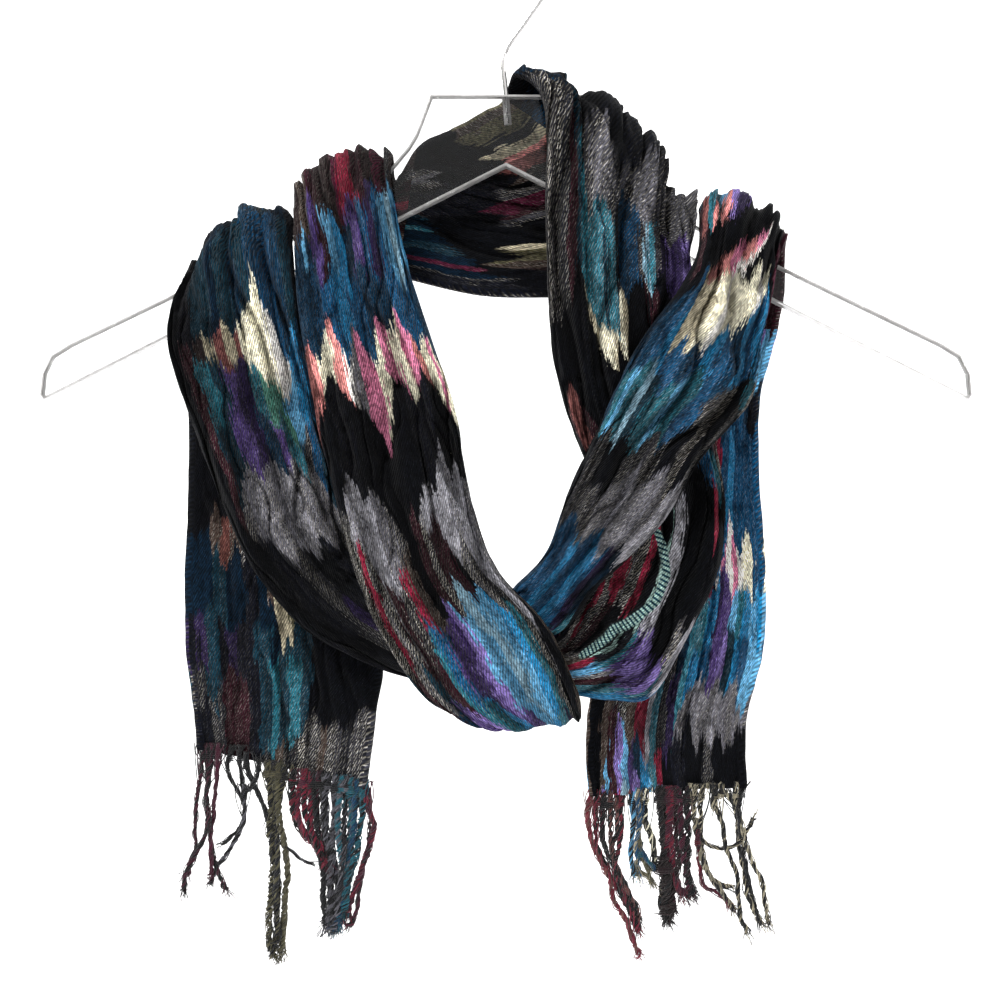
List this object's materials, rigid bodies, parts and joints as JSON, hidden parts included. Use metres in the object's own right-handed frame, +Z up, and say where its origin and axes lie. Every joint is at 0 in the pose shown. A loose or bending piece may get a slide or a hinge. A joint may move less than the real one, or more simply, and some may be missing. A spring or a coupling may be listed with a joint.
{
  "type": "knit scarf on a clear hanger",
  "caption": "Long crinkled scarf with twisted fringe at both ends, looped once and draped over a clear flat hanger with a wire hook.",
  "frame": {"origin": "where the inside of the hook's bend bears on its rail, at the bend's highest inner point, in the plate's mid-plane", "axes": "+X to the hanger's right-hand arm as seen from the front, -Y to the front, +Z up"},
  "size_m": [0.43, 0.0646, 0.487],
  "materials": {
    "clear_plate": "clear polished acrylic",
    "wire": "polished wire",
    "cloth": "soft crinkled weave with a slight nap, in a flame pattern of blues, black, grey, crimson and cream",
    "fringe": "twisted yarn"
  },
  "bodies": {
    "root": {"hanger": "clear_plate", "hook": "wire", "tail_left": "cloth", "loop_left_outer": "cloth", "loop_right_inner": "cloth", "neck_back": "cloth", "loop_left_inner": "cloth", "loop_right_outer": "cloth", "tail_right": "cloth", "fringe_left_1": "fringe", "fringe_left_2": "fringe", "fringe_left_3": "fringe", "fringe_right_1": "fringe", "fringe_right_2": "fringe", "fringe_right_3": "fringe", "fringe_right_4": "fringe"}
  },
  "joints": []
}
